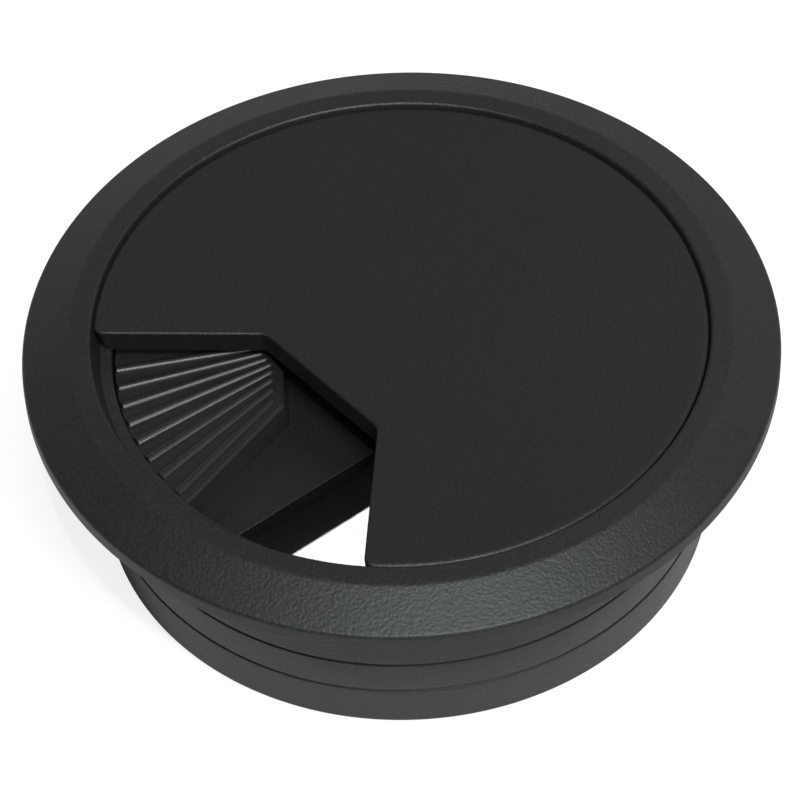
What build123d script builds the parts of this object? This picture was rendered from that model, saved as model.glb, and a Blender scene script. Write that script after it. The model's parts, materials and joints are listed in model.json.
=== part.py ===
from build123d import *
import os
from math import cos, radians, sin, tan

# A round cable grommet for a desk top, moulded in black plastic, in three pieces:
# liner    a flange and a stepped collar, pushed into the desk's hole from above
# cover    a disc with a notch for the cables, resting on a ledge inside the liner
# shutter  a tongue that turns on a snap peg under the cover, pushed by its ribbed finger pad
# Millimetres, +Z up. The origin is on the collar's axis, level with the flange's underside, which is
# the desk's surface. The notch opens midway between -X and -Y.

# Collar: fits the hole, with two steps that bite into its wall
hole_diameter = 60.0
hole_clearance = 0.3
collar_depth = 19.7
collar_wall = 2.2
collar_lead = 0.6
upper_step_depth = 10.8
lower_step_depth = 14.7
step_bite = 0.18
step_taper = 0.6
step_round = 0.15

# Flange: a low rim, a bevel up to a soft crease, and a narrow land round the cover
flange_overhang = 6.3
rim_height = 1.6
rim_round = 0.5
rim_foot_round = 0.1
crown_height = 3.7
crown_round = 0.55
land_width = 2.05
land_fall = 0.2
crease_round = 1.5

# Seat of the cover in the liner: a narrow ledge and a wall that leans outwards, like the cover's edge
ledge_width = 1.1
ledge_round = 0.2
seat_slope = 17.0
cover_gap = 0.2
cover_sink = 0.4

# Cover and its notch
cover_thickness = 2.3
cover_edge_round = 0.2
notch_half_angle = 43.9
notch_side_offset = 1.2
notch_throat = 10.0
notch_corner_round = 1.5
cover_corner_round = 1.0
notch_direction = 225.0

# Pivot under the cover: a boss, and a split snap peg through the shutter
boss_radius = 5.0
peg_radius = 3.0
peg_bore_radius = 1.5
peg_slot = 1.2
pivot_clearance = 0.06
barb_overhang = 0.6
barb_play = 0.2
barb_land = 0.5
barb_lead = 1.5

# Ribs under the cover that stop the shutter when it is closed and when it is fully open
stop_thickness = 1.6
stop_length = 8.0
stop_distance = 14.0
stop_play = 0.3

# Shutter: a tongue whose sides are tangent to its hub
tongue_gap = 0.25
tongue_half_angle = 32.0
hub_radius = 6.6
plate_thickness = 1.6
plate_edge_round = 0.2
shutter_turn = 36.0
shutter_full_turn = 54.0

# Finger pad on the tongue: ribs fan out from a centre beside the pivot
pad_height = 2.8
pad_wall = 1.6
pad_clearance = 0.7
pad_draft = 7.0
pad_edge_round = 0.3
pad_corner_round = 0.4
pad_front_margin = 1.0
pad_back_margin = 3.4
pad_nose = 7.0
pad_nose_front = 0.8
pad_nose_back = 2.5
pad_nose_slope = 30.0
fan_centre_x = 5.5
fan_centre_y = -2.6
fan_direction = 26.5
rib_count = 8
rib_pitch = 6.0
rib_height = 0.32
rib_width = 1.0
rib_inner_height = 0.22
rib_inner_width = 0.7
rib_nose_inset = 0.15
rib_front_inset = 1.3
rib_end_gap = 0.1

# Radii and levels that follow from the sizes above
collar_radius = hole_diameter / 2 - hole_clearance
bore_radius = collar_radius - collar_wall
flange_radius = collar_radius + flange_overhang
tongue_radius = bore_radius - tongue_gap
cover_top = crown_height - cover_sink
cover_bottom = cover_top - cover_thickness
seat_lean = tan(radians(seat_slope))
seat_radius = bore_radius + ledge_width
crown_radius = seat_radius + seat_lean * (crown_height - cover_bottom)
cover_foot_radius = seat_radius - cover_gap
cover_radius = cover_foot_radius + seat_lean * cover_thickness
pad_top = cover_bottom - pad_clearance - rib_height
plate_top = pad_top - pad_height
plate_bottom = plate_top - plate_thickness
reach = 2 * flange_radius


def nearest_corners(face, points):
    """The corners of a flat face that lie nearest to the given points."""
    return [face.vertices().sort_by_distance((x, y, 0))[0] for x, y in points]


def slab(face, low, high):
    """A flat face raised into a solid between two levels."""
    return Pos(0, 0, low) * extrude(face, high - low)


def make_liner():
    """Flange and collar: one section, turned about the axis."""
    rim_top = (flange_radius, rim_height)
    rim_foot = (flange_radius, 0)
    crease = (crown_radius + land_width, crown_height - land_fall)
    crown = (crown_radius, crown_height)
    ledge_edge = (bore_radius, cover_bottom)
    step_edges = [(collar_radius, -depth) for depth in (upper_step_depth, lower_step_depth)]

    section = [ledge_edge, (seat_radius, cover_bottom), crown, crease, rim_top, rim_foot, (collar_radius, 0)]
    for radius, level in step_edges:
        section.append((radius, level + step_taper))
        section.append((radius - step_bite, level))
        section.append((radius, level))
    section.append((collar_radius, collar_lead - collar_depth))
    section.append((collar_radius - collar_lead, -collar_depth))
    section.append((bore_radius, -collar_depth))

    face = make_face(Polyline(*section, close=True))
    for radius, corners in (
        (crease_round, [crease]),
        (crown_round, [crown]),
        (rim_round, [rim_top]),
        (rim_foot_round, [rim_foot]),
        (ledge_round, [ledge_edge]),
        (step_round, step_edges),
    ):
        face = fillet(nearest_corners(face, corners), radius)
    return revolve(Plane.XZ * face, Axis.Z)


def notch_outline():
    """The notch, opening along +X: two sides that lean apart from a straight throat."""
    spread = tan(radians(notch_half_angle))
    apex = notch_side_offset / sin(radians(notch_half_angle))
    throat_half_width = (notch_throat - apex) * spread
    far_half_width = (reach - apex) * spread
    return make_face(
        Polyline(
            (notch_throat, throat_half_width),
            (reach, far_half_width),
            (reach, -far_half_width),
            (notch_throat, -throat_half_width),
            close=True,
        )
    )


def make_cover_disc():
    """The disc with its notch: its edge leans like its seat, and corners and upper edge are rounded."""
    middle = (cover_bottom + cover_top) / 2
    disc = Pos(0, 0, middle) * Cone(cover_foot_radius, cover_radius, cover_thickness)
    disc -= slab(notch_outline(), cover_bottom, cover_top)
    for corners, radius in ((slice(0, 2), notch_corner_round), (slice(-2, None), cover_corner_round)):
        upright = disc.edges().filter_by_position(Axis.Z, cover_bottom, cover_top, (False, False))
        disc = fillet(upright.sort_by_distance((0, 0, middle))[corners], radius)
    upper_edges = disc.faces().sort_by(Axis.Z)[-1].edges()
    return Rot(0, 0, notch_direction) * fillet(upper_edges, cover_edge_round)


def make_pivot():
    """Boss and snap peg: the barb is wider than the shutter's hole, and the slots let it spring in."""
    barb_top = plate_bottom - barb_play
    barb_foot = barb_top - barb_land
    tip = barb_foot - barb_lead
    barb_radius = peg_radius + barb_overhang
    section = make_face(
        Polyline(
            (0, cover_bottom),
            (boss_radius, cover_bottom),
            (boss_radius, plate_top),
            (peg_radius, plate_top),
            (peg_radius, barb_top),
            (barb_radius, barb_top),
            (barb_radius, barb_foot),
            ((peg_radius + peg_bore_radius) / 2, tip),
            (0, tip),
            close=True,
        )
    )
    pivot = revolve(Plane.XZ * section, Axis.Z)
    pivot -= slab(Circle(peg_bore_radius), tip, plate_top)
    slot = slab(Rectangle(peg_slot, reach), tip, plate_top)
    pivot -= slot
    pivot -= Rot(0, 0, 90) * slot
    return pivot


def make_stop(side_direction, side):
    """A rib whose face meets one side of the tongue: side is 1 for the front side, -1 for the back."""
    offset = side * (hub_radius + stop_play + stop_thickness / 2)
    footprint = Pos(stop_distance, offset) * Rectangle(stop_length, stop_thickness)
    return Rot(0, 0, side_direction) * slab(footprint, plate_bottom, cover_bottom)


def make_cover():
    """Disc, pivot and stops, moulded as one piece."""
    open_direction = notch_direction - shutter_full_turn
    closed_stop = make_stop(notch_direction + tongue_half_angle, 1)
    open_stop = make_stop(open_direction - tongue_half_angle, -1)
    return make_cover_disc() + make_pivot() + closed_stop + open_stop


def tongue_outline():
    """The tongue along +X: a sector of the bore with sides tangent to the round hub."""
    half_angle = radians(tongue_half_angle)
    tangent_x = -hub_radius * sin(half_angle)
    tangent_y = hub_radius * cos(half_angle)
    far_x = tangent_x + reach * cos(half_angle)
    far_y = tangent_y + reach * sin(half_angle)
    wedge = make_face(
        Polyline(
            (tangent_x, tangent_y),
            (far_x, far_y),
            (far_x, -far_y),
            (tangent_x, -tangent_y),
            close=True,
        )
    )
    return (wedge & Circle(tongue_radius)) + Circle(hub_radius)


def fan_side(margin, nose, nose_corner):
    """One half of the fan's outline, from its centre along +X: nose corner, shoulder and far end."""
    fan_half_angle = radians(rib_pitch * (rib_count - 1) / 2)
    spread = tan(fan_half_angle)
    side_at_centre = margin / cos(fan_half_angle)
    slope = tan(radians(pad_nose_slope))
    shoulder_y = (side_at_centre + (nose - slope * nose_corner) * spread) / (1 - slope * spread)
    shoulder_x = nose + slope * (shoulder_y - nose_corner)
    return [(nose, nose_corner), (shoulder_x, shoulder_y), (reach, side_at_centre + reach * spread)]


def fan_outline(nose, nose_front):
    """The fan's area: sides beside the end ribs, and a three-sided nose, rounded at its corners."""
    front = fan_side(pad_front_margin, nose, nose_front)
    back = [(x, -y) for x, y in fan_side(pad_back_margin, nose, pad_nose_back)]
    outline = make_face(Polyline(*front, *reversed(back), close=True))
    return fillet(nearest_corners(outline, front[:2] + back[:2]), pad_corner_round)


fan_place = Pos(fan_centre_x, fan_centre_y) * Rot(0, 0, fan_direction)


def rib_section(height, width):
    """A circle that stands out of the pad's top by the given height, and is that wide where it meets it."""
    radius = (height**2 + (width / 2) ** 2) / (2 * height)
    return Pos(0, height - radius) * Circle(radius)


def make_ribs():
    """Low rounded ribs, larger towards the rim, fanned about the fan's centre."""
    inner = rib_section(rib_inner_height, rib_inner_width)
    outer = rib_section(rib_height, rib_width)
    rib = Plane.YZ * loft([inner, Pos(0, 0, tongue_radius - pad_nose) * outer])
    ribs = []
    for index in range(rib_count):
        turn = (index - (rib_count - 1) / 2) * rib_pitch
        ribs.append(Rot(0, 0, turn) * Pos(pad_nose, 0, pad_top) * rib)
    field = fan_place * fan_outline(pad_nose + rib_nose_inset, pad_nose_front - rib_front_inset)
    field &= Circle(tongue_radius - rib_end_gap)
    room = slab(field, pad_top - rib_height, pad_top + 2 * rib_height)
    return [fan_place * rib & room for rib in ribs]


def make_pad():
    """The finger pad: its sides widen downwards, and its rim end follows the bore."""
    fan = fan_place * fan_outline(pad_nose, pad_nose_front)
    block = Pos(0, 0, pad_top) * extrude(fan, pad_top - plate_bottom, (0, 0, -1), taper=-pad_draft)
    block &= slab(Circle(tongue_radius), plate_bottom, pad_top)
    block = fillet(block.faces().sort_by(Axis.Z)[-1].edges(), pad_edge_round)
    hollow = offset(fan & Circle(tongue_radius), -pad_wall)
    return block, slab(hollow, plate_bottom, pad_top - pad_wall)


def make_shutter():
    """Plate, hollow finger pad and ribs, built along +X and turned to the pose of the opening."""
    plate = slab(tongue_outline(), plate_bottom, plate_top)
    plate = fillet(plate.faces().sort_by(Axis.Z)[-1].edges(), plate_edge_round)
    pad, hollow = make_pad()
    shutter = plate + pad - hollow
    shutter -= slab(Circle(peg_radius + pivot_clearance), plate_bottom, plate_top)
    for rib in make_ribs():
        shutter += rib
    return Rot(0, 0, notch_direction - shutter_turn) * shutter


os.makedirs("parts", exist_ok=True)
export_step(make_liner(), "parts/liner.step")
export_step(make_cover(), "parts/cover.step")
export_step(make_shutter(), "parts/shutter.step")
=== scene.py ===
# %% [markdown]
# # A round cable grommet for a desk top
#
# A cable grommet lines the hole in a desk through which cables pass. This one is moulded in black
# plastic, in three pieces: a liner with a flange and a stepped collar, a cover with a notch, and a
# shutter that turns under the notch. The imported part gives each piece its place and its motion.
# Here the pieces get clean meshes, a grained finish, a table to stand on and light.

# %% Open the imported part
import json
import math

import bpy
from mathutils import Matrix, Vector

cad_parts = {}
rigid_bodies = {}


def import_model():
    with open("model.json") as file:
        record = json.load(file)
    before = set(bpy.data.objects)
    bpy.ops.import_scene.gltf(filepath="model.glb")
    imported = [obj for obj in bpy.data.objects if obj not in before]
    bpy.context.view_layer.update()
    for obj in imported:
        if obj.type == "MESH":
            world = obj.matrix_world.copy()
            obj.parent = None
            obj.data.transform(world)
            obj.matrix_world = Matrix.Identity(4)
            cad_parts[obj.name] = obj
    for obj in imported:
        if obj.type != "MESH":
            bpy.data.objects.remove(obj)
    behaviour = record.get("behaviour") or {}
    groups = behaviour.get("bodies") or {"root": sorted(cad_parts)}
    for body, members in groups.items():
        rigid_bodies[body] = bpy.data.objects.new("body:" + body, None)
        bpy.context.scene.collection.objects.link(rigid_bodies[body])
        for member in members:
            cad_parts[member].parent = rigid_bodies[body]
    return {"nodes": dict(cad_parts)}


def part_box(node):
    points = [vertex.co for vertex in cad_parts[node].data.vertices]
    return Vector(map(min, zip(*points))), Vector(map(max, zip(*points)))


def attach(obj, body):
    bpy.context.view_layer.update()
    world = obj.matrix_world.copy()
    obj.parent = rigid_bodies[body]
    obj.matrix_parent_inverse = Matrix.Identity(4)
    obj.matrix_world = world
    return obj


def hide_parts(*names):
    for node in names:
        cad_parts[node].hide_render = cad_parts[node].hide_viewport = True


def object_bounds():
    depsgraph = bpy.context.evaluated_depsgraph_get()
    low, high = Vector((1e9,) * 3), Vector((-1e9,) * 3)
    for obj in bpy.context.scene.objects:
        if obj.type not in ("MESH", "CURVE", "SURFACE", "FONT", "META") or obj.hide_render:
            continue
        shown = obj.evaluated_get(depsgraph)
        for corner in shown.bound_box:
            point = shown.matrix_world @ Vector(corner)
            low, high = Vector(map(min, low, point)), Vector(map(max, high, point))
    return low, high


mm = 0.001

for leftover in list(bpy.data.objects):
    bpy.data.objects.remove(leftover)

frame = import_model()
cad_low, cad_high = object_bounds()
print("nodes", sorted(frame["nodes"]), "height in mm", round((cad_high.z - cad_low.z) / mm, 2))

# %% [markdown]
# ## The camera
#
# A long lens far away flattens perspective, as in a catalogue picture: the flange's ellipse is almost
# the same at the front and at the back. The camera could be turned by three Euler angles, but it is
# easier to aim it at a point on the cover with a tracking rotation. Then it is rolled about its own
# axis, because the picture leans a little to one side.

# %% Camera
camera_place = Vector((22.11, -252.77, 283.94)) * mm
camera_target = Vector((0.35, -7.86, 1.60)) * mm
camera_roll = math.radians(-2.655)
camera_lens = 180.0
camera_sensor = 36.0

camera = bpy.data.objects.new("camera", bpy.data.cameras.new("camera"))
camera.data.lens = camera_lens
camera.data.sensor_width = camera_sensor
aim = (camera_target - camera_place).to_track_quat("-Z", "Y").to_matrix().to_4x4()
camera.matrix_world = Matrix.Translation(camera_place) @ aim @ Matrix.Rotation(camera_roll, 4, "Z")
bpy.context.scene.collection.objects.link(camera)
bpy.context.scene.camera = camera
print("camera distance in mm", round((camera_target - camera_place).length / mm, 1))

# %% [markdown]
# ## The finish: spark-grained black plastic
#
# The mould of such a part is spark-eroded, which leaves tiny shallow craters all over the plastic.
# They spread every highlight and make it sparkle a little. A picture of the grain could be wrapped
# round the pieces, but it would need a UV map and would stretch on the bevel. Noise on the piece's own
# coordinates has neither fault: fine noise drives a bump node for the craters. The same noise also paints
# shade into the craters and a sparkle onto the high ground between them, by darkening and lightening the
# colour. A second, wider noise varies the gloss, so that no area is quite even.

# %% Noise for the grain
grain_detail = 2.0
cloud_size = 7.0 * mm
cloud_detail = 4.0


def add_noise(nodes, links, coordinates, feature_size, detail):
    """A noise texture on the piece's own coordinates whose features have the given size."""
    noise = nodes.new("ShaderNodeTexNoise")
    noise.inputs["Scale"].default_value = 1 / feature_size
    noise.inputs["Detail"].default_value = detail
    links.new(coordinates.outputs["Object"], noise.inputs["Vector"])
    return noise


# %% Plastic material
# Painted grain shading: the colour is darker in the grain's pits (painted shade) and lighter on its high
# ground (painted sparkle).
grain_shade_and_sparkle_spread = 0.30
crater_shade_end = 0.35
crest_sparkle_end = 0.65


def plastic(name, colour, roughness, roughness_spread, grain_size, grain_depth):
    """Black plastic with a spark-eroded grain, with shade and a sparkle painted into the grain's colour."""
    material = bpy.data.materials.new(name)
    material.use_nodes = True
    nodes = material.node_tree.nodes
    links = material.node_tree.links
    shader = nodes["Principled BSDF"]
    coordinates = nodes.new("ShaderNodeTexCoord")

    grain = add_noise(nodes, links, coordinates, grain_size, grain_detail)
    bump = nodes.new("ShaderNodeBump")
    bump.inputs["Distance"].default_value = grain_depth
    links.new(grain.outputs["Fac"], bump.inputs["Height"])
    links.new(bump.outputs["Normal"], shader.inputs["Normal"])

    cloud = add_noise(nodes, links, coordinates, cloud_size, cloud_detail)
    gloss = nodes.new("ShaderNodeMapRange")
    gloss.inputs["To Min"].default_value = roughness - roughness_spread
    gloss.inputs["To Max"].default_value = roughness + roughness_spread
    links.new(cloud.outputs["Fac"], gloss.inputs["Value"])
    links.new(gloss.outputs["Result"], shader.inputs["Roughness"])

    # Painted shade and sparkle: the noise that drives the bump also darkens the colour in the pits and
    # lightens it on the high ground.
    painted_grain_shading = nodes.new("ShaderNodeValToRGB")
    dark, light = painted_grain_shading.color_ramp.elements
    dark.position = crater_shade_end
    dark.color = [channel * (1 - grain_shade_and_sparkle_spread) for channel in colour] + [1]
    light.position = crest_sparkle_end
    light.color = [channel * (1 + grain_shade_and_sparkle_spread) for channel in colour] + [1]
    links.new(grain.outputs["Fac"], painted_grain_shading.inputs["Fac"])
    links.new(painted_grain_shading.outputs["Color"], shader.inputs["Base Color"])
    return material


# %% [markdown]
# ### Three mouldings, three finishes
#
# Liner and cover have the same coarse grain. The shutter is smoother, because its mould is polished a
# little more: its ribs show narrow highlights that a coarse grain would break up. One function with a
# few settings makes all three, so that they stay one family.

# %% Finishes of the three mouldings
liner_plastic = plastic(
    "liner_plastic",
    colour=(0.0118, 0.0126, 0.0120),
    roughness=0.48,
    roughness_spread=0.04,
    grain_size=0.33 * mm,
    grain_depth=0.048 * mm,
)
cover_plastic = plastic(
    "cover_plastic",
    colour=(0.0094, 0.0104, 0.0092),
    roughness=0.48,
    roughness_spread=0.05,
    grain_size=0.33 * mm,
    grain_depth=0.040 * mm,
)
shutter_plastic = plastic(
    "shutter_plastic",
    colour=(0.0106, 0.0110, 0.0112),
    roughness=0.36,
    roughness_spread=0.03,
    grain_size=0.20 * mm,
    grain_depth=0.008 * mm,
)
print("finishes", [finish.name for finish in (liner_plastic, cover_plastic, shutter_plastic)])

# %% [markdown]
# ## Helpers: arcs and lofted loops
#
# Most outlines of this part are lines joined by arcs. An outline that is worked out again with a small
# inset, a little higher each time, gives a stack of loops, and the faces between them make a solid whose
# edges are truly round. A Bevel modifier could round the edges too, but it rounds every edge alike,
# while loops can round the rim of a piece more softly than its notch. They also leave clean strips of
# quads.

# %% Arcs and rounded edges
arc_steps = 10
edge_steps = 6
axis = Vector((0, 0))


def on_circle(radius, degrees):
    """The point of a circle about the axis, in the XY plane."""
    angle = math.radians(degrees)
    return Vector((radius * math.cos(angle), radius * math.sin(angle)))


def arc(centre, radius, start, end, steps):
    """Points of an arc about a centre, from one direction to another, both ends included."""
    return [centre + on_circle(radius, start + (end - start) * step / steps) for step in range(steps + 1)]


def rounded_edge(level, radius):
    """Inset and level of each loop that rounds off an upper edge, from the wall to the top."""
    loops = []
    for step in range(edge_steps + 1):
        angle = math.pi / 2 * step / edge_steps
        loops.append((radius * (1 - math.cos(angle)), level - radius * (1 - math.sin(angle))))
    return loops


# %% Lofted solids
def lofted(name, loops):
    """A closed solid through loops of equally many points, each with its level, from bottom to top."""
    mesh = bpy.data.meshes.new(name)
    count = len(loops[0][0])
    vertices = [(point.x * mm, point.y * mm, level * mm) for loop, level in loops for point in loop]
    faces = [list(reversed(range(count)))]
    for row in range(len(loops) - 1):
        for index in range(count):
            after = (index + 1) % count
            low = row * count
            high = low + count
            faces.append((low + index, low + after, high + after, high + index))
    faces.append([(len(loops) - 1) * count + index for index in range(count)])
    mesh.from_pydata(vertices, [], faces)
    piece = bpy.data.objects.new(name, mesh)
    bpy.context.scene.collection.objects.link(piece)
    return piece


# %% [markdown]
# ## Helpers: baking, joining and finishing
#
# Modifiers do the joining, and each result is baked into a plain mesh at once, so that the next step
# starts from real faces. The Boolean modifier's Manifold solver is quick and exact on closed solids,
# which all these pieces are. At the end a piece is shaded smooth, apart from its sharp edges. Weighted
# normals keep large flat faces flat right up to their rounded edges.

# %% Baking and joining
def bake(piece):
    """Turns a piece and its modifiers into a plain mesh."""
    evaluated = piece.evaluated_get(bpy.context.evaluated_depsgraph_get())
    mesh = bpy.data.meshes.new_from_object(evaluated)
    mesh.name = piece.name
    piece.modifiers.clear()
    piece.data = mesh


def combine(piece, tool, operation):
    """Adds a solid to a piece or cuts it away, and removes the tool."""
    boolean = piece.modifiers.new("combine", "BOOLEAN")
    boolean.operation = operation
    boolean.solver = "MANIFOLD"
    boolean.object = tool
    bake(piece)
    bpy.data.objects.remove(tool)


# %% Finishing a piece
sharp_angle = 40.0


def finish_piece(piece, node_name, body, material):
    """Smooth shading that keeps flat faces flat, one material, and the CAD node that the piece shows."""
    piece.data.shade_smooth()
    piece.data.set_sharp_from_angle(angle=math.radians(sharp_angle))
    normals = piece.modifiers.new("normals", "WEIGHTED_NORMAL")
    normals.keep_sharp = True
    bake(piece)
    piece.data.materials.clear()
    piece.data.materials.append(material)
    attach(piece, body)
    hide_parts(node_name)
    print(node_name, "faces", len(piece.data.polygons))


# %% [markdown]
# ## The liner: a turned piece
#
# Flange and collar have one section all the way round, so the liner is that section, swept along a
# circle. A Screw modifier would turn it, but it couldn't round the corners. A Geometry Nodes tree does
# both: the section is a loop of edges, each corner carries its own rounding as an attribute, Fillet Curve
# rounds the corners and Curve to Mesh turns the section. The same tree makes the pivot later.

# %% Start and end of a tree
def new_tree(name, inputs):
    """An empty geometry tree with named inputs, and its input and output nodes."""
    tree = bpy.data.node_groups.new(name, "GeometryNodeTree")
    for label, kind in inputs:
        tree.interface.new_socket(label, in_out="INPUT", socket_type=kind)
    tree.interface.new_socket("Geometry", in_out="OUTPUT", socket_type="NodeSocketGeometry")
    return tree, tree.nodes.new("NodeGroupInput"), tree.nodes.new("NodeGroupOutput")


def end_tree(tree, sizes, result, geometry):
    """The tree's last nodes: real faces, and the finish on them."""
    realize = tree.nodes.new("GeometryNodeRealizeInstances")
    finish = tree.nodes.new("GeometryNodeSetMaterial")
    tree.links.new(geometry, realize.inputs["Geometry"])
    tree.links.new(realize.outputs["Geometry"], finish.inputs["Geometry"])
    tree.links.new(sizes.outputs["Finish"], finish.inputs["Material"])
    tree.links.new(finish.outputs["Geometry"], result.inputs["Geometry"])


# %% A tree that turns a section about the axis
weld_distance = 0.0001


def turned_tree():
    """Geometry nodes: round each corner of a section by its own radius, then turn it about Z."""
    inputs = [
        ("Section", "NodeSocketGeometry"),
        ("Around", "NodeSocketInt"),
        ("Round Steps", "NodeSocketInt"),
        ("Path Radius", "NodeSocketFloat"),
        ("Finish", "NodeSocketMaterial"),
    ]
    tree, sizes, result = new_tree("turned_section", inputs)

    outline = tree.nodes.new("GeometryNodeMeshToCurve")
    tree.links.new(sizes.outputs["Section"], outline.inputs["Mesh"])
    rounding = tree.nodes.new("GeometryNodeInputNamedAttribute")
    rounding.data_type = "FLOAT"
    rounding.inputs["Name"].default_value = "round"
    fillet = tree.nodes.new("GeometryNodeFilletCurve")
    fillet.mode = "POLY"
    tree.links.new(outline.outputs["Curve"], fillet.inputs["Curve"])
    tree.links.new(sizes.outputs["Round Steps"], fillet.inputs["Count"])
    tree.links.new(rounding.outputs["Attribute"], fillet.inputs["Radius"])

    path = tree.nodes.new("GeometryNodeCurvePrimitiveCircle")
    tree.links.new(sizes.outputs["Around"], path.inputs["Resolution"])
    tree.links.new(sizes.outputs["Path Radius"], path.inputs["Radius"])
    turn = tree.nodes.new("GeometryNodeCurveToMesh")
    tree.links.new(path.outputs["Curve"], turn.inputs["Curve"])
    tree.links.new(fillet.outputs["Curve"], turn.inputs["Profile Curve"])
    merge = tree.nodes.new("GeometryNodeMergeByDistance")
    merge.inputs["Distance"].default_value = weld_distance * mm
    tree.links.new(turn.outputs["Mesh"], merge.inputs["Geometry"])
    end_tree(tree, sizes, result, merge.outputs["Geometry"])
    return tree


# %% [markdown]
# ### A section becomes a piece
#
# The sweep places the section beside the circle with its own Y axis pointing down, so the levels go in
# with their sign turned. The circle's radius is taken off each corner, which leaves the finished radii
# as they are written.

# %% Turning a section
path_radius = 10.0
turned = turned_tree()


def set_inputs(modifier, values):
    """Sets a nodes modifier's inputs by name, through their sockets' identifiers."""
    for item in modifier.node_group.interface.items_tree:
        if item.in_out == "INPUT" and item.name in values:
            modifier[item.identifier] = values[item.name]


def turn_section(name, section, around, material):
    """A piece turned from corners given as radius, level and rounding."""
    mesh = bpy.data.meshes.new(name)
    vertices = [((radius - path_radius) * mm, -level * mm, 0) for radius, level, rounding in section]
    edges = [(index, (index + 1) % len(section)) for index in range(len(section))]
    mesh.from_pydata(vertices, edges, [])
    corner_rounding = mesh.attributes.new("round", "FLOAT", "POINT")
    corner_rounding.data.foreach_set("value", [rounding * mm for radius, level, rounding in section])
    piece = bpy.data.objects.new(name, mesh)
    bpy.context.scene.collection.objects.link(piece)
    modifier = piece.modifiers.new("turned", "NODES")
    modifier.node_group = turned
    values = {
        "Around": around,
        "Round Steps": edge_steps,
        "Path Radius": path_radius * mm,
        "Finish": material,
    }
    set_inputs(modifier, values)
    bake(piece)
    return piece


# %% [markdown]
# ### The liner's section
#
# Seen from the axis outwards: a narrow ledge for the cover, a leaning wall, a rounded crown, a land that
# falls a little, a soft crease, the bevel, and the thin rim. Two shallow steps run round the collar, and
# a short lead at its lower end helps it into the hole. The section could be drawn by hand as a curve, but
# a list of corners with named sizes is easier to change. Flange radius and collar length come from the
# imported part, so the liner keeps its outer size.

# %% Liner's sizes
liner_low, liner_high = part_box("liner")
flange_radius = liner_high.x / mm
collar_bottom = liner_low.z / mm
collar_radius = 29.7
collar_lead = 0.6
bore_radius = 27.5
rim_height = 1.6
rim_round = 0.5
rim_foot_round = 0.1
crown_height = 3.686
crown_round = 0.35
land_width = 2.05
land_fall = 0.2
crease_round = 1.5
ledge_width = 1.1
ledge_round = 0.2
seat_round = 0.15
seat_lean_angle = 17.0
cover_top = 3.3
cover_bottom = 1.0
step_levels = (-10.8, -14.7)
step_bite = 0.13
step_taper = 0.6
step_round = 0.15
liner_around = 384

seat_lean = math.tan(math.radians(seat_lean_angle))
seat_radius = bore_radius + ledge_width
crown_radius = seat_radius + seat_lean * (crown_height - cover_bottom)
print("flange radius", round(flange_radius, 2), "crown radius", round(crown_radius, 2), "in mm")

# %% Liner
liner_section = [
    (bore_radius, cover_bottom, ledge_round),
    (seat_radius, cover_bottom, seat_round),
    (crown_radius, crown_height, crown_round),
    (crown_radius + land_width, crown_height - land_fall, crease_round),
    (flange_radius, rim_height, rim_round),
    (flange_radius, 0.0, rim_foot_round),
    (collar_radius, 0.0, 0.0),
]
for level in step_levels:
    liner_section += [
        (collar_radius, level + step_taper, 0.0),
        (collar_radius - step_bite, level, 0.0),
        (collar_radius, level, step_round),
    ]
liner_section += [
    (collar_radius, collar_bottom + collar_lead, 0.0),
    (collar_radius - collar_lead, collar_bottom, 0.0),
    (bore_radius, collar_bottom, 0.0),
]
liner = turn_section("liner_moulding", liner_section, liner_around, liner_plastic)
finish_piece(liner, "liner", "base", liner_plastic)

# %% [markdown]
# ## The cover
#
# A disc with a notch, moulded with a boss, a split snap peg and two stop ribs underneath. A cylinder with
# a wedge cut out would come close, but its corners would stay sharp. So the outline is worked out: the
# rim, two rounded outer corners, the notch's two sides and its throat. One function gives that outline
# at any inset, and the upper edge is rounded off loop by loop, more softly at the rim than in the notch.

# %% Rounded corners
def rounded_corner(before, corner, after, radius):
    """The arc that rounds a corner between two straight runs."""
    back = (before - corner).normalized()
    ahead = (after - corner).normalized()
    half_angle = math.acos(max(-1.0, min(1.0, back.dot(ahead)))) / 2
    centre = corner + (back + ahead).normalized() * radius / math.sin(half_angle)
    reach = radius / math.tan(half_angle)
    start = corner + back * reach - centre
    end = corner + ahead * reach - centre
    turn = start.angle_signed(end)
    first = math.degrees(math.atan2(start.y, start.x))
    return arc(centre, radius, first, first - math.degrees(turn), arc_steps)


# %% Cover's outline
cover_corner_round = 1.0
notch_direction = 225.0
notch_half_angle = 43.9
notch_side_offset = 1.2
notch_throat = 10.0
notch_corner_round = 1.5
rim_steps = 240


def cover_outline(radius, inset):
    """The cover's outline, against the clock: its rim, then the notch from corner to corner."""
    opening = math.radians(notch_half_angle)
    along = Vector((math.cos(opening), math.sin(opening)))
    across = Vector((-along.y, along.x))
    corner_round = cover_corner_round - inset
    side = inset - notch_side_offset + corner_round
    centre = along * math.sqrt((radius - inset - corner_round) ** 2 - side**2) + across * side
    rim_start = math.degrees(math.atan2(centre.y, centre.x))
    outer_corner = arc(centre, corner_round, notch_half_angle - 90, rim_start, arc_steps)
    throat = notch_throat - inset
    apex = (notch_side_offset - inset) / along.y
    throat_middle = Vector((throat, 0))
    throat_corner = Vector((throat, (throat - apex) * math.tan(opening)))
    inner_round = notch_corner_round + inset
    half = rounded_corner(throat_middle, throat_corner, outer_corner[0], inner_round) + outer_corner
    other_half = [Vector((point.x, -point.y)) for point in reversed(half)]
    rim = arc(axis, radius - inset, rim_start, 360 - rim_start, rim_steps)
    turn = Matrix.Rotation(math.radians(notch_direction), 2)
    return [turn @ point for point in rim[1:-1] + other_half + half]


# %% Cover's disc
cover_gap = 0.1
cover_edge_round = 0.25
cover_rim_share = 2.4

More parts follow.
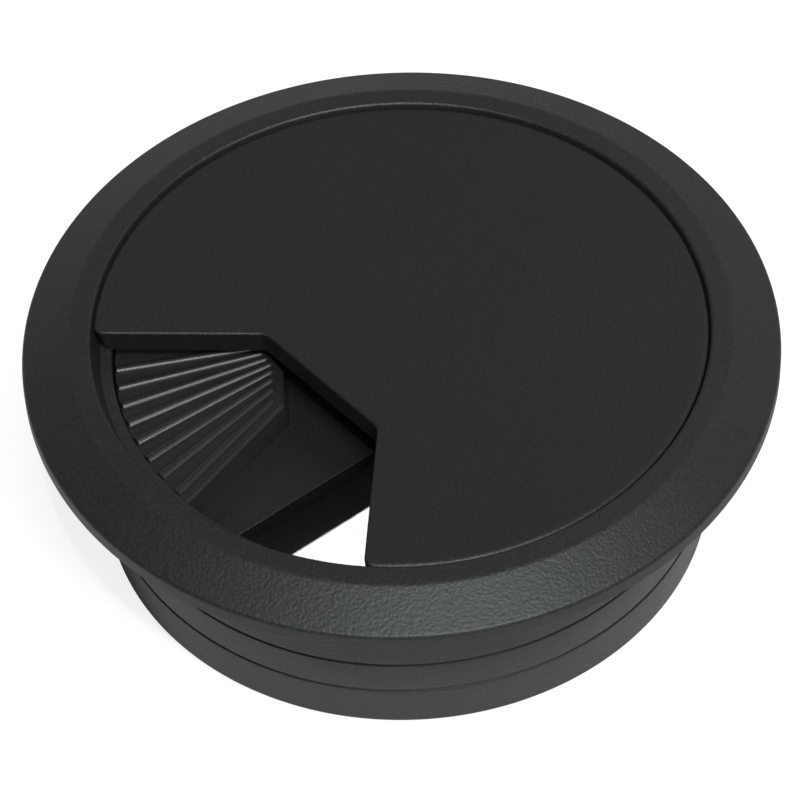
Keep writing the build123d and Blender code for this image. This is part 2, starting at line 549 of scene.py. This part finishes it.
cover_foot_radius = seat_radius - cover_gap
cover_loops = [(cover_outline(cover_foot_radius, 0.0), cover_bottom)]
for inset, level in rounded_edge(cover_top, cover_edge_round):
    rim_inset = (cover_rim_share - 1) * inset
    rim_radius = cover_foot_radius + seat_lean * (level - cover_bottom) - rim_inset
    cover_loops.append((cover_outline(rim_radius, inset), level))
cover = lofted("cover_moulding", cover_loops)
print("cover's disc: loops", len(cover_loops), "points in each", len(cover_loops[0][0]))

# %% [markdown]
# ### Pivot under the cover
#
# The shutter hangs on a peg under the cover, whose four barbs spring through the shutter's hole and hold
# it. One barb could be modelled and copied round, but a turned peg with two crossing slots gives all four
# at once, as the mould does. The tree that turned the liner turns the peg as well.

# %% Pivot's section
plate_top = -2.82
plate_bottom = -4.42
boss_radius = 5.0
peg_radius = 3.0
peg_bore_radius = 1.5
barb_radius = 3.6
barb_play = 0.2
barb_height = 0.5
peg_nose = 1.5
pivot_round = 0.15
overlap = 0.5

barb_top = plate_bottom - barb_play
barb_foot = barb_top - barb_height
peg_tip = barb_foot - peg_nose
pivot_section = [
    (0.0, cover_bottom + overlap, 0.0),
    (boss_radius, cover_bottom + overlap, 0.0),
    (boss_radius, plate_top, pivot_round),
    (peg_radius, plate_top, 0.0),
    (peg_radius, barb_top, 0.0),
    (barb_radius, barb_top, 0.0),
    (barb_radius, barb_foot, pivot_round),
    ((peg_radius + peg_bore_radius) / 2, peg_tip, pivot_round),
    (peg_bore_radius, peg_tip, 0.0),
    (peg_bore_radius, plate_top, 0.0),
    (0.0, plate_top, 0.0),
]
print("pivot reaches down to", round(peg_tip, 2), "mm")

# %% Pivot
pivot_around = 96
peg_slot_width = 1.2
peg_slot_length = 9.0


def bar(name, middle, direction, length, width, low, high):
    """An upright bar whose length runs in the given direction."""
    along = on_circle(length / 2, direction)
    across = on_circle(width / 2, direction + 90)
    near_side = [middle - along - across, middle + along - across]
    far_side = [middle + along + across, middle - along + across]
    return lofted(name, [(near_side + far_side, low), (near_side + far_side, high)])


pivot = turn_section("pivot", pivot_section, pivot_around, cover_plastic)
for direction in (0.0, 90.0):
    slot = bar("slot", axis, direction, peg_slot_length, peg_slot_width, peg_tip - overlap, plate_top)
    combine(pivot, slot, "DIFFERENCE")
combine(cover, pivot, "UNION")
print("cover with its pivot: faces", len(cover.data.polygons))

# %% [markdown]
# ### Stops under the cover
#
# Two plain ribs stop the shutter where it is closed and where it is fully open. They could be placed by
# eye. Here each lies along the tongue's side at that end of the travel, with a little play, so its place
# follows from the tongue.

# %% Stop ribs
hub_radius = 6.6
shutter_full_turn = 54.0
tongue_half_angle = 32.0
stop_distance = 14.0
stop_length = 8.0
stop_thickness = 1.6
stop_play = 0.3

closed_side = notch_direction + tongue_half_angle
open_side = notch_direction - shutter_full_turn - tongue_half_angle
for side_direction, side in ((closed_side, 1), (open_side, -1)):
    stand_off = side * (hub_radius + stop_play + stop_thickness / 2)
    middle = on_circle(stop_distance, side_direction) + on_circle(stand_off, side_direction + 90)
    stop_top = cover_bottom + overlap
    stop = bar("stop", middle, side_direction, stop_length, stop_thickness, plate_bottom, stop_top)
    combine(cover, stop, "UNION")
finish_piece(cover, "cover", "base", cover_plastic)

# %% [markdown]
# ## The shutter
#
# A flat tongue turns on the peg and carries a raised finger pad. Its sides are tangent to the round hub,
# which leaves no weak corner. The tongue could be cut from a disc, but an outline of lines and arcs, lofted
# like the cover, rounds its upper edge in the same step.

# %% Shutter's plate
shutter_direction = 189.0
tongue_radius = 27.36
tongue_steps = 120
hub_steps = 40
plate_edge_round = 0.08


def tongue_outline(inset):
    """The tongue: a stretch of the rim, and two sides tangent to the round hub."""
    radius = tongue_radius - inset
    hub = hub_radius - inset
    rim_half = tongue_half_angle + math.degrees(math.asin(hub / radius))
    rim = arc(axis, radius, shutter_direction - rim_half, shutter_direction + rim_half, tongue_steps)
    hub_start = shutter_direction + 90 + tongue_half_angle
    hub_end = shutter_direction + 270 - tongue_half_angle
    return rim + arc(axis, hub, hub_start, hub_end, hub_steps)


plate_loops = [(tongue_outline(0.0), plate_bottom)]
for inset, level in rounded_edge(plate_top, plate_edge_round):
    plate_loops.append((tongue_outline(inset), level))
shutter = lofted("shutter_moulding", plate_loops)
print("plate: loops", len(plate_loops), "points in each", len(plate_loops[0][0]))

# %% [markdown]
# ### The finger pad
#
# The pad is a fan: two sides that spread from one centre, a blunt nose with sloped corners, and the rim.
# Its sides lean, so that it leaves its mould. A block could be extruded and tapered, but a taper scales the
# whole outline. Grown by an even width at each level, the outline gives all sides the same draft. At the
# rim the edge is rounded less, so that only a fine gap shows between pad and liner.

# %% The fan's place
fan_offset = 26.5
fan_half_angle = 21.0
fan_centre_along = 5.5
fan_centre_across = -2.6

fan_direction = shutter_direction + fan_offset
fan_spread = math.tan(math.radians(fan_half_angle))
fan_turn = Matrix.Rotation(math.radians(fan_direction), 2)
tongue_turn = Matrix.Rotation(math.radians(shutter_direction), 2)
fan_centre = tongue_turn @ Vector((fan_centre_along, fan_centre_across))


def fan_place(along, across):
    """A point of the fan, given along its middle line and across it, in the part's frame."""
    return fan_centre + fan_turn @ Vector((along, across))


def meets_rim(start, direction, radius):
    """Where a line from inside meets the rim."""
    ahead = on_circle(1.0, direction)
    along = start.dot(ahead)
    return start + ahead * (math.sqrt(along**2 - start.length_squared + radius**2) - along)


print("fan's centre in mm", [round(value, 2) for value in fan_centre])

# %% Pad's outline
pad_corner_round = 0.4
pad_least_round = 0.075
pad_front_margin = 1.0
pad_back_margin = 3.4
pad_nose = 7.0
pad_nose_front = 0.8
pad_nose_back = 2.5
pad_nose_slope = 30.0
pad_rim_steps = 60


def pad_side(margin, nose_corner, grow, side):
    """Nose corner and shoulder on one side of the pad: side is 1 for the front and -1 for the back."""
    slope = math.tan(math.radians(pad_nose_slope))
    nose = pad_nose - grow
    corner = nose_corner + grow * math.tan(math.radians(pad_nose_slope / 2))
    at_centre = (margin + grow) / math.cos(math.radians(fan_half_angle))
    shoulder = (at_centre + (nose - slope * corner) * fan_spread) / (1 - slope * fan_spread)
    return fan_place(nose, side * corner), fan_place(nose + slope * (shoulder - corner), side * shoulder)


def pad_outline(grow, radius):
    """The pad's outline, against the clock, grown by some width and ending at a rim of that radius."""
    front_nose, front_shoulder = pad_side(pad_front_margin, pad_nose_front, grow, 1)
    back_nose, back_shoulder = pad_side(pad_back_margin, pad_nose_back, grow, -1)
    front_end = meets_rim(front_shoulder, fan_direction + fan_half_angle, radius)
    back_end = meets_rim(back_shoulder, fan_direction - fan_half_angle, radius)
    corners = [front_end, front_shoulder, front_nose, back_nose, back_shoulder, back_end]
    corner_round = max(pad_corner_round + grow, pad_least_round)
    outline = []
    for before, corner, after in zip(corners, corners[1:], corners[2:]):
        outline += rounded_corner(before, corner, after, corner_round)
    first = math.degrees(math.atan2(back_end.y, back_end.x)) % 360
    last = math.degrees(math.atan2(front_end.y, front_end.x)) % 360
    return outline + arc(axis, radius, first, last, pad_rim_steps)


# %% Pad
pad_top = -0.02
pad_draft_angle = 7.0
pad_edge_round = 0.3
pad_rim_gap = 0.03
pad_rim_share = 0.3

pad_draft = math.tan(math.radians(pad_draft_angle))
pad_rim = tongue_radius - pad_rim_gap
pad_foot = (plate_top + plate_bottom) / 2
pad_loops = [(pad_outline((pad_top - pad_foot) * pad_draft, pad_rim), pad_foot)]
for inset, level in rounded_edge(pad_top, pad_edge_round):
    rim = pad_rim - pad_rim_share * inset
    pad_loops.append((pad_outline((pad_top - level) * pad_draft - inset, rim), level))
pad = lofted("pad", pad_loops)
print("pad: loops", len(pad_loops), "points in each", len(pad_loops[0][0]))

# %% [markdown]
# ## The ribs of the finger pad
#
# Eight low ridges fan out over the pad, so that a fingertip can push it. They repeat along straight lines,
# which suits Geometry Nodes better than eight modelled copies: each rib is one edge, and a tree sweeps a
# section along it. The section starts as a circle. Its lower half sinks into the pad, and its upper half is
# pressed into a ridge with straight flanks and a rounded crest, which catches a narrow line of light.

# %% Small node helpers
rib_end_overrun = 0.5


def math_node(tree, operation, *values):
    """A Math node whose inputs are sockets or numbers."""
    node = tree.nodes.new("ShaderNodeMath")
    node.operation = operation
    for socket, value in zip(node.inputs, values):
        if isinstance(value, (int, float)):
            socket.default_value = value
        else:
            tree.links.new(value, socket)
    return node.outputs["Value"]


def end_scale(tree, distance, reach):
    """Rises from a small size at a rib's end to full size at the given reach from it."""
    ramp = tree.nodes.new("ShaderNodeMapRange")
    ramp.interpolation_type = "SMOOTHSTEP"
    ramp.inputs["From Min"].default_value = -rib_end_overrun * reach
    ramp.inputs["From Max"].default_value = reach
    tree.links.new(distance, ramp.inputs["Value"])
    return ramp.outputs["Result"]


# %% [markdown]
# ### The rib's section and its size along the rib
#
# Across the rib, X runs from -1 to 1. X without its sign would be a valley with a sharp bottom. The root of
# X squared plus the crest squared is the same valley with a rounded bottom. Turned over and scaled to reach
# from 0 to 1, it is the ridge. Along the rib the section grows from the nose to the rim, and falls off
# steeply at both ends.

# %% Rib's section
rib_crest = 0.3
rib_section_points = 48


def rib_section(tree, sizes):
    """A circle whose upper half is pressed into a ridge with a rounded crest."""
    circle = tree.nodes.new("GeometryNodeCurvePrimitiveCircle")
    circle.inputs["Resolution"].default_value = rib_section_points
    circle.inputs["Radius"].default_value = 1.0
    place = tree.nodes.new("GeometryNodeInputPosition")
    parts = tree.nodes.new("ShaderNodeSeparateXYZ")
    tree.links.new(place.outputs["Position"], parts.inputs["Vector"])

    squared = math_node(tree, "POWER", parts.outputs["X"], 2.0)
    valley = math_node(tree, "SQRT", math_node(tree, "ADD", squared, rib_crest**2))
    fall = math_node(tree, "SUBTRACT", valley, rib_crest)
    share = math_node(tree, "DIVIDE", fall, math.sqrt(1 + rib_crest**2) - rib_crest)
    ridge = math_node(tree, "SUBTRACT", 1.0, share)
    upper = math_node(tree, "GREATER_THAN", parts.outputs["Y"], 0.0)
    raised = math_node(tree, "MULTIPLY", ridge, upper)
    sunk = math_node(tree, "MINIMUM", parts.outputs["Y"], 0.0)
    height = math_node(tree, "ADD", raised, sunk)

    half_width = math_node(tree, "MULTIPLY", sizes.outputs["Width"], 0.5)
    pressed = tree.nodes.new("ShaderNodeCombineXYZ")
    tree.links.new(math_node(tree, "MULTIPLY", parts.outputs["X"], half_width), pressed.inputs["X"])
    tree.links.new(math_node(tree, "MULTIPLY", height, sizes.outputs["Height"]), pressed.inputs["Y"])
    section = tree.nodes.new("GeometryNodeSetPosition")
    tree.links.new(circle.outputs["Curve"], section.inputs["Geometry"])
    tree.links.new(pressed.outputs["Vector"], section.inputs["Position"])
    return section.outputs["Geometry"]


# %% Rib's size along its line
rib_inner_end = 0.6
rib_outer_end = 0.12


def rib_scale(tree, sizes):
    """The section's size along a rib: growing outwards, and falling off at both ends."""
    along = tree.nodes.new("GeometryNodeSplineParameter")
    whole = tree.nodes.new("GeometryNodeSplineLength")
    rest = math_node(tree, "SUBTRACT", whole.outputs["Length"], along.outputs["Length"])
    inner = end_scale(tree, along.outputs["Length"], rib_inner_end * mm)
    outer = end_scale(tree, rest, rib_outer_end * mm)
    taper = tree.nodes.new("ShaderNodeMapRange")
    tree.links.new(along.outputs["Factor"], taper.inputs["Value"])
    tree.links.new(sizes.outputs["Inner Scale"], taper.inputs["To Min"])
    ends = math_node(tree, "MULTIPLY", inner, outer)
    return math_node(tree, "MULTIPLY", ends, taper.outputs["Result"])


# %% A tree that sweeps the ribs
rib_points = 96


def rib_tree():
    """Geometry nodes: sweep the rib's section along every edge."""
    inputs = [
        ("Lines", "NodeSocketGeometry"),
        ("Height", "NodeSocketFloat"),
        ("Width", "NodeSocketFloat"),
        ("Inner Scale", "NodeSocketFloat"),
        ("Finish", "NodeSocketMaterial"),
    ]
    tree, sizes, result = new_tree("swept_ribs", inputs)

    lines = tree.nodes.new("GeometryNodeMeshToCurve")
    tree.links.new(sizes.outputs["Lines"], lines.inputs["Mesh"])
    points = tree.nodes.new("GeometryNodeResampleCurve")
    points.inputs["Count"].default_value = rib_points
    tree.links.new(lines.outputs["Curve"], points.inputs["Curve"])
    upright = tree.nodes.new("GeometryNodeSetCurveNormal")
    upright.mode = "Z_UP"
    tree.links.new(points.outputs["Curve"], upright.inputs["Curve"])

    sweep = tree.nodes.new("GeometryNodeCurveToMesh")
    sweep.inputs["Fill Caps"].default_value = True
    tree.links.new(upright.outputs["Curve"], sweep.inputs["Curve"])
    tree.links.new(rib_section(tree, sizes), sweep.inputs["Profile Curve"])
    tree.links.new(rib_scale(tree, sizes), sweep.inputs["Scale"])
    end_tree(tree, sizes, result, sweep.outputs["Mesh"])
    return tree


# %% [markdown]
# ### The ribs' lines
#
# The lines could be turned copies of one, but then all would start at the same distance. Here each starts
# near the pad's nose, at its straight front or at the slope beside it, and ends just inside the rim. The
# fan of ribs leans a little against the pad, as it does on the real one.

# %% Ribs' lines
rib_count = 8
rib_pitch = 5.93
rib_lean = 1.0
rib_end_gap = 0.1
rib_sink = 0.015
rib_nose = 7.15
rib_nose_front = -0.5


def rib_start(turn):
    """How far from the fan's centre a rib starts: at the straight front or at the slope beside it."""
    slope = math.tan(math.radians(pad_nose_slope))
    at_front = rib_nose / math.cos(turn)
    front_slope = (rib_nose - slope * rib_nose_front) / (math.cos(turn) - slope * math.sin(turn))
    back_slope = (rib_nose - slope * pad_nose_back) / (math.cos(turn) + slope * math.sin(turn))
    return max(at_front, front_slope, back_slope)


rib_level = (pad_top - rib_sink) * mm
rib_ends = []
for index in range(rib_count):
    turn = (index - (rib_count - 1) / 2) * rib_pitch - rib_lean
    start = fan_centre + on_circle(rib_start(math.radians(turn)), fan_direction + turn)
    end = meets_rim(start, fan_direction + turn, tongue_radius - rib_end_gap)
    rib_ends += [(point.x * mm, point.y * mm, rib_level) for point in (start, end)]
rib_lines = bpy.data.meshes.new("ribs")
rib_lines.from_pydata(rib_ends, [(2 * index, 2 * index + 1) for index in range(rib_count)], [])
print("rib lines", len(rib_lines.edges))

# %% Ribs
rib_height = 0.38
rib_width = 1.0
rib_inner_scale = 0.7

ribs = bpy.data.objects.new("ribs", rib_lines)
bpy.context.scene.collection.objects.link(ribs)
sweeping = ribs.modifiers.new("swept", "NODES")
sweeping.node_group = rib_tree()
rib_sizes = {
    "Height": rib_height * mm,
    "Width": rib_width * mm,
    "Inner Scale": rib_inner_scale,
    "Finish": shutter_plastic,
}
set_inputs(sweeping, rib_sizes)
bake(ribs)
print("ribs", rib_count, "faces", len(ribs.data.polygons))

# %% [markdown]
# ## The shutter put together
#
# The real shutter is one moulding, so ribs, pad and plate are joined into one closed mesh. The pad is
# hollow underneath, as such mouldings are, so that its thick top doesn't sink. Last comes the hole for
# the peg.

# %% Shutter
pad_wall = 1.6
hub_hole_radius = 3.06

combine(pad, ribs, "UNION")
combine(shutter, pad, "UNION")
hollow_outline = pad_outline(-pad_wall, pad_rim - pad_wall)
hollow = lofted("hollow", [(hollow_outline, plate_bottom - overlap), (hollow_outline, pad_top - pad_wall)])
combine(shutter, hollow, "DIFFERENCE")
hole_outline = arc(axis, hub_hole_radius, 0, 360, pivot_around)[:-1]
hole = lofted("hole", [(hole_outline, plate_bottom - overlap), (hole_outline, plate_top + overlap)])
combine(shutter, hole, "DIFFERENCE")
finish_piece(shutter, "shutter", "shutter", shutter_plastic)

# %% [markdown]
# ## The table
#
# The part stands on its collar on a pale table, with a white sheet under its flange that brightens the foot
# of the collar. To the camera both are one clean white ground. More light would make them white as well,
# but it would wash out the black part, so Light Path's Is Camera Ray lets the camera alone see them glow a
# little, and they still keep a soft shadow. Inside the collar the table lies in the shutter's shade.

# %% Table's material
def table_material(name, lit_colour, seen_colour, glow):
    """A pale table top that looks different to the camera: its own colour there, and some glow."""
    material = bpy.data.materials.new(name)
    material.use_nodes = True
    nodes = material.node_tree.nodes
    links = material.node_tree.links
    nodes.remove(nodes["Principled BSDF"])
    lit = nodes.new("ShaderNodeBsdfDiffuse")
    lit.inputs["Color"].default_value = lit_colour
    seen = nodes.new("ShaderNodeBsdfDiffuse")
    seen.inputs["Color"].default_value = seen_colour
    bright = nodes.new("ShaderNodeEmission")
    bright.inputs["Strength"].default_value = glow
    both = nodes.new("ShaderNodeAddShader")
    links.new(seen.outputs["BSDF"], both.inputs[0])
    links.new(bright.outputs["Emission"], both.inputs[1])
    rays = nodes.new("ShaderNodeLightPath")
    choice = nodes.new("ShaderNodeMixShader")
    links.new(rays.outputs["Is Camera Ray"], choice.inputs["Fac"])
    links.new(lit.outputs["BSDF"], choice.inputs[1])
    links.new(both.outputs["Shader"], choice.inputs[2])
    links.new(choice.outputs["Shader"], nodes["Material Output"].inputs["Surface"])
    return material


# %% Table
shade_radius = 28.5
sheet_radius = 35.0
table_radius = 3000.0
table_steps = 96
table_colour = (0.62, 0.61, 0.57, 1)
sheet_colour = (0.92, 0.91, 0.86, 1)
shade_seen_colour = (5.4, 5.3, 5.1, 1)
ground_seen_colour = (0.25, 0.25, 0.25, 1)
ground_glow = 0.82


def table_piece(name, points, faces, material):
    """A flat piece of the table under the part."""
    mesh = bpy.data.meshes.new(name)
    mesh.from_pydata([(point.x * mm, point.y * mm, cad_low.z) for point in points], [], faces)
    mesh.materials.append(material)
    piece = bpy.data.objects.new(name, mesh)
    bpy.context.scene.collection.objects.link(piece)
    return piece


rings = []
for radius in (shade_radius, sheet_radius, table_radius):
    rings.append(arc(axis, radius, 0, 360, table_steps)[:-1])
ring_faces = []
for index in range(table_steps):
    after = (index + 1) % table_steps
    ring_faces.append((index, table_steps + index, table_steps + after, after))
shade_material = table_material("table_in_shade", table_colour, shade_seen_colour, 0.0)
sheet_material = table_material("white_sheet", sheet_colour, ground_seen_colour, ground_glow)
ground_material = table_material("white_ground", table_colour, ground_seen_colour, ground_glow)
shade = table_piece("table_inside_collar", rings[0], [list(range(table_steps))], shade_material)
sheet = table_piece("sheet", rings[0] + rings[1], ring_faces, sheet_material)
ground = table_piece("ground", rings[1] + rings[2], ring_faces, ground_material)
print("table at", round(cad_low.z / mm, 2), "mm, pieces", [piece.name for piece in (shade, sheet, ground)])

# %% [markdown]
# ## The lamps
#
# The light of the picture is that of a room: large soft windows at the right front, and pale walls behind
# that show in the bevel. A picture of a room could be wrapped round the scene, but lamps are easier to aim.
# Sun lamps with a wide angle give soft light evenly from one side. A narrow spot draws the sharp edge of
# the shutter's shadow on the table. One round soft box stands near the part, so that its light falls off
# across the cover.

# %% Lamp helpers
box_distance = 200.0
box_size = 170.0


def lamp_side(azimuth, elevation):
    """The direction of a lamp, seen from the part."""
    level = math.radians(elevation)
    return on_circle(math.cos(level), azimuth).to_3d() + Vector((0, 0, math.sin(level)))


def add_lamp(light, strength, colour, side, distance):
    """Hangs a lamp on one side of the part, aimed at its middle."""
    light.energy = strength
    light.color = colour
    holder = bpy.data.objects.new(light.name, light)
    aim = side.to_track_quat("Z", "Y").to_matrix().to_4x4()
    holder.matrix_world = Matrix.Translation(side * distance) @ aim
    bpy.context.scene.collection.objects.link(holder)
    return holder


def sun_lamp(name, azimuth, elevation, spread, strength, colour):
    """A distant lamp that looks as wide as its spread, in degrees."""
    light = bpy.data.lights.new(name, "SUN")
    light.angle = math.radians(spread)
    return add_lamp(light, strength, colour, lamp_side(azimuth, elevation), 0.0)


def box_lamp(name, azimuth, elevation, strength, colour):
    """A round soft box near the part."""
    light = bpy.data.lights.new(name, "AREA")
    light.shape = "DISK"
    light.size = box_size * mm
    return add_lamp(light, strength, colour, lamp_side(azimuth, elevation), box_distance * mm)


# %% Lamps
window_colour = (0.93, 1.0, 1.02)
side_colour = (0.97, 1.0, 0.98)
wall_colour = (1.0, 1.0, 0.92)

sun_lamp("spot", azimuth=279, elevation=63.9, spread=0.9, strength=0.70, colour=window_colour)
high_window = sun_lamp("high_window", 302, 67, spread=26, strength=1.85, colour=window_colour)
front_window = sun_lamp("front_window", 292, 42, spread=40, strength=0.8, colour=side_colour)
low_window = sun_lamp("low_window", 322, 23, spread=14, strength=1.95, colour=side_colour)
sun_lamp("right_back_fill", 45, 18, spread=50, strength=0.19, colour=wall_colour)
sun_lamp("back_fill", 90, 18, spread=50, strength=0.05, colour=wall_colour)
sun_lamp("left_back_fill", 130, 18, spread=50, strength=0.18, colour=wall_colour)
sun_lamp("rear_fill", 105, 30, spread=30, strength=0.065, colour=wall_colour)
box_lamp("high_back_fill", 50, 42, strength=0.027, colour=wall_colour)

# %% [markdown]
# ### Which lamp lights what
#
# A photographer holds up black cards to keep light off one thing and on another. Light linking does the
# same without a card in the way. The windows leave out the table inside the collar, which stays dark apart
# from the spot's patch. The low window grazes the ribs and the table only, because on the flat cover it
# would make a white glare when seen from behind.

# %% Light linking
def link_light(lamp, pieces, state):
    """Lets a lamp light only some pieces, or leaves them out of its light."""
    linked = bpy.data.collections.new(lamp.name + "_pieces")
    for piece in pieces:
        linked.objects.link(piece)
    for entry in linked.collection_objects:
        entry.light_linking.link_state = state
    lamp.light_linking.receiver_collection = linked
    print(lamp.name, state.lower(), [piece.name for piece in pieces])


link_light(high_window, [shade], "EXCLUDE")
link_light(front_window, [shade], "EXCLUDE")
link_light(low_window, [shutter, sheet, ground], "INCLUDE")

# %% [markdown]
# ### A dim even sky
#
# Some light comes from everywhere in a room. A weak white world lifts the deepest corners a little. More of
# it would flatten the highlights that show the bevel and the ribs.

# %% World
sky_strength = 0.05

world = bpy.data.worlds.new("sky")
bpy.context.scene.world = world
world.use_nodes = True
sky = world.node_tree.nodes["Background"]
sky.inputs["Color"].default_value = (1, 1, 1, 1)
sky.inputs["Strength"].default_value = sky_strength
bpy.context.scene.view_settings.view_transform = "Standard"
print("sky strength", sky_strength)
